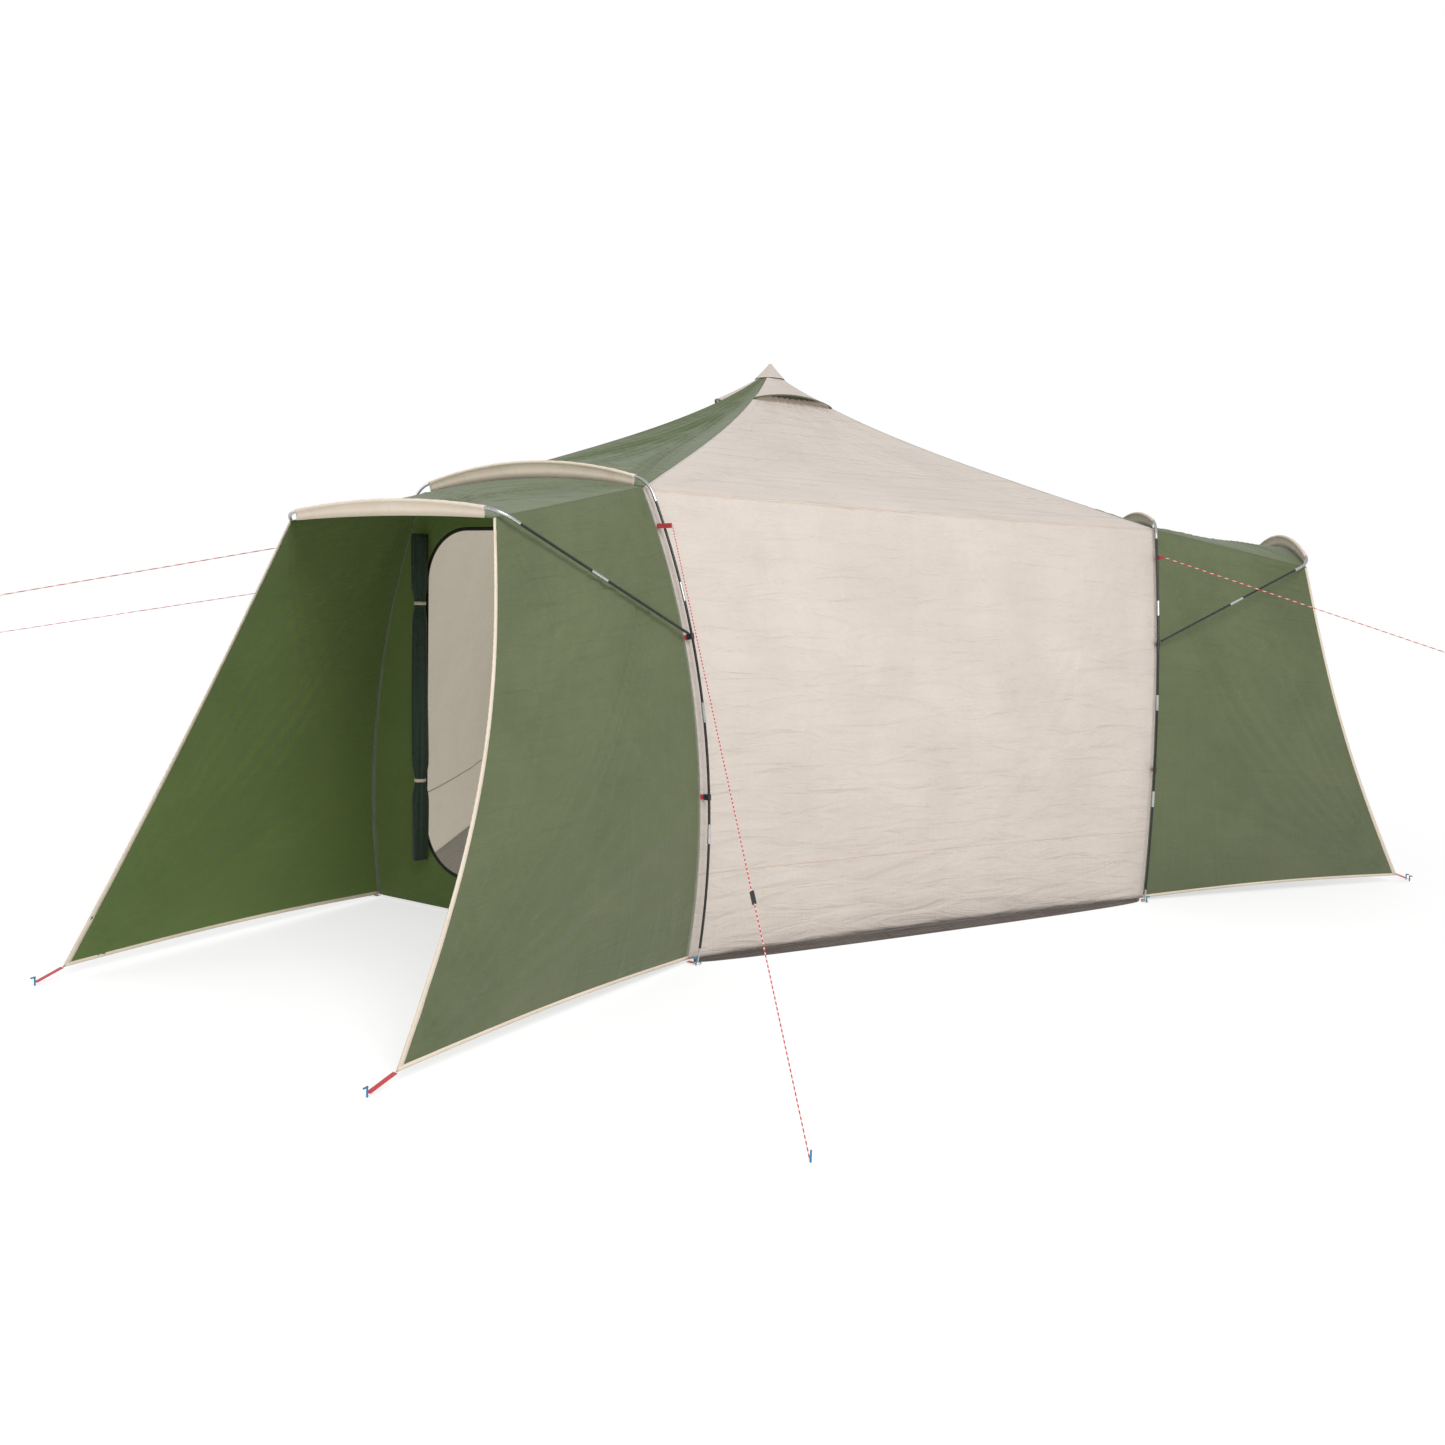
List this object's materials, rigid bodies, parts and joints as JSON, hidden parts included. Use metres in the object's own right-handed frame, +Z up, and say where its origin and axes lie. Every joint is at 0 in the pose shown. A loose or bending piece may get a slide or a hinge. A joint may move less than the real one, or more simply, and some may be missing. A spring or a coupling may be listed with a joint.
{
  "type": "family tent",
  "caption": "Three-armed tipi family tent: a centre pole, arch poles, porch hoops, sloping cloth roof and walls, open front porch, guy ropes and pegs.",
  "frame": {"origin": "on the ground under the centre pole", "axes": "+Z up, -Y out of the open front porch"},
  "size_m": [7.3383, 6.5569, 2.884],
  "materials": {
    "fibreglass": "pultruded black fibreglass rod",
    "steel": "drawn steel",
    "pole_steel": "galvanised steel tube",
    "rubber_foot": "moulded rubber",
    "black_plastic": "moulded nylon",
    "green_cloth": "coated polyester taffeta",
    "beige_cloth": "coated polyester taffeta",
    "mesh_cloth": "fine knitted mesh",
    "floor_cloth": "coated woven floor cloth",
    "flap_cloth": "coated cloth",
    "red_webbing": "woven polyester webbing",
    "peg_paint": "blue painted steel",
    "rope": "braided polyester cord, red with a pale fleck",
    "zip_metal": "black painted zinc"
  },
  "bodies": {
    "root": {"apex_cap": "beige_cloth", "arch_rods_front": "fibreglass", "arch_rods_left": "fibreglass", "arch_rods_right": "fibreglass", "centre_pole_lower": "pole_steel", "clip_webbing": "red_webbing", "door_front": "green_cloth", "door_left": "green_cloth", "door_right": "green_cloth", "end_wall_front": "green_cloth", "end_wall_left": "green_cloth", "end_wall_right": "green_cloth", "foot_rings": "steel", "groundsheet": "floor_cloth", "guy_knots": "rope", "guy_peg": "peg_paint", "guy_rope_1": "rope", "guy_rope_2": "rope", "guy_rope_3": "rope", "guy_rope_4": "rope", "guy_tabs": "red_webbing", "hoop_rods_front": "fibreglass", "hoop_rods_left": "fibreglass", "hoop_rods_right": "fibreglass", "mud_flaps": "flap_cloth", "peg_loops": "red_webbing", "pegs": "peg_paint", "pole_clips": "black_plastic", "pole_ferrules": "steel", "pole_foot": "rubber_foot", "pole_sleeves_front": "beige_cloth", "pole_sleeves_left": "beige_cloth", "pole_sleeves_right": "beige_cloth", "pole_steel_ends": "steel", "porch_roof_front": "green_cloth", "porch_roof_left": "green_cloth", "porch_roof_right": "green_cloth", "roof_gore_front": "green_cloth", "roof_gore_left": "green_cloth", "roof_gore_right": "green_cloth", "side_panel_front": "beige_cloth", "side_panel_left": "beige_cloth", "side_panel_right": "beige_cloth", "side_wall_front": "beige_cloth", "side_wall_left": "beige_cloth", "side_wall_right": "beige_cloth", "vent_hoods": "beige_cloth", "vent_mesh": "mesh_cloth", "wings_front": "green_cloth", "wings_left": "green_cloth", "wings_right": "green_cloth"},
    "pole_upper": {"centre_pole_upper": "pole_steel"},
    "pole_collar": {"pole_lock_collar": "black_plastic"},
    "guy_slider_body": {"guy_slider": "black_plastic"},
    "zip_front": {"zip_pull_front": "zip_metal"},
    "zip_right": {"zip_pull_right": "zip_metal"},
    "zip_left": {"zip_pull_left": "zip_metal"}
  },
  "joints": [
    {"name": "pole_height", "type": "slide", "parent": "root", "child": "pole_upper", "axis": [0, 0, 1], "range_m": [-0.5, 0]},
    {"name": "pole_lock_turn", "type": "hinge", "parent": "root", "child": "pole_collar", "pos_m": [0, 0, 1.477], "axis": [0, 0, 1], "range_deg": [0, 90]},
    {"name": "guy_slider_slide", "type": "slide", "parent": "root", "child": "guy_slider_body", "axis": [0.5251, -0.4982, -0.69], "range_m": [-0.4, 0.35]},
    {"name": "zip_front_slide", "type": "slide", "parent": "root", "child": "zip_front", "axis": [0, 0, 1], "range_m": [0, 1.09]},
    {"name": "zip_right_slide", "type": "slide", "parent": "root", "child": "zip_right", "axis": [0, 0, 1], "range_m": [0, 1.09]},
    {"name": "zip_left_slide", "type": "slide", "parent": "root", "child": "zip_left", "axis": [0, 0, 1], "range_m": [0, 1.09]}
  ]
}
